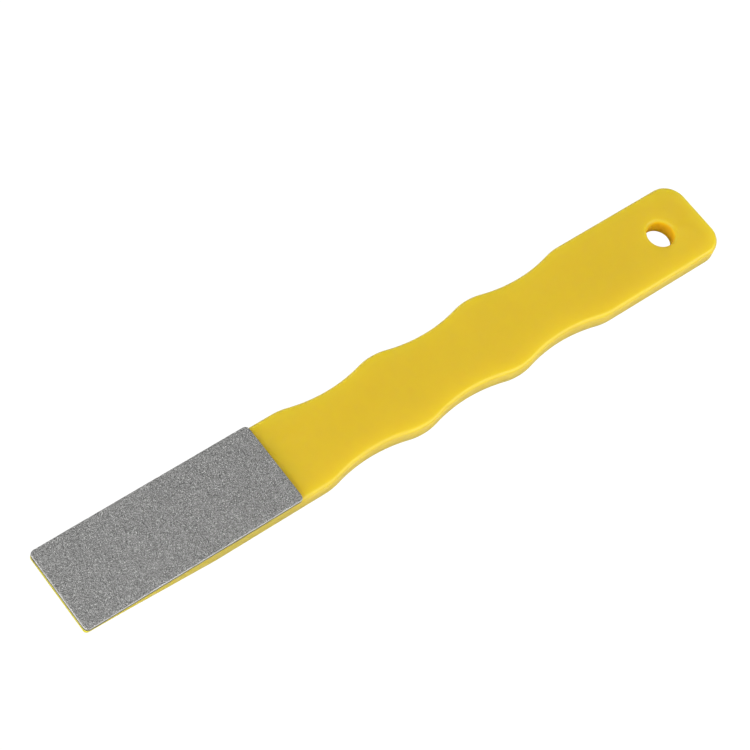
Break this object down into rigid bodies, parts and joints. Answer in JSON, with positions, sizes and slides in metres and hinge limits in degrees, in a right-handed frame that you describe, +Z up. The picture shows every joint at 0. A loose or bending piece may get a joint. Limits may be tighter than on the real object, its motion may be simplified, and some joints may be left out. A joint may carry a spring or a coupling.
{
  "type": "diamond sharpening paddle",
  "caption": "Flat hand-held paddle with finger scallops and a hang hole, carrying a diamond-coated steel plate bonded to its tip for dressing and bevelling tool edges.",
  "frame": {"origin": "on the plane of the flat underside, under the middle of the overall length and width", "axes": "+X from the plate end (tip) to the hang hole (tail), +Z up through the diamond face, Y across the width"},
  "size_m": [0.1632, 0.019, 0.0054],
  "materials": {
    "yellow_plastic": "glossy, slightly translucent injection-moulded yellow plastic",
    "cured_epoxy": "dark cured adhesive line, satin",
    "plate_steel": "nickel-plated sheet steel, bright on its cut edges",
    "diamond_grit": "nickel-bonded diamond grit, rough and sandy with small sparkles"
  },
  "bodies": {
    "root": {"handle": "yellow_plastic", "adhesive_film": "cured_epoxy", "steel_plate": "plate_steel", "diamond_coating": "diamond_grit"}
  },
  "joints": []
}
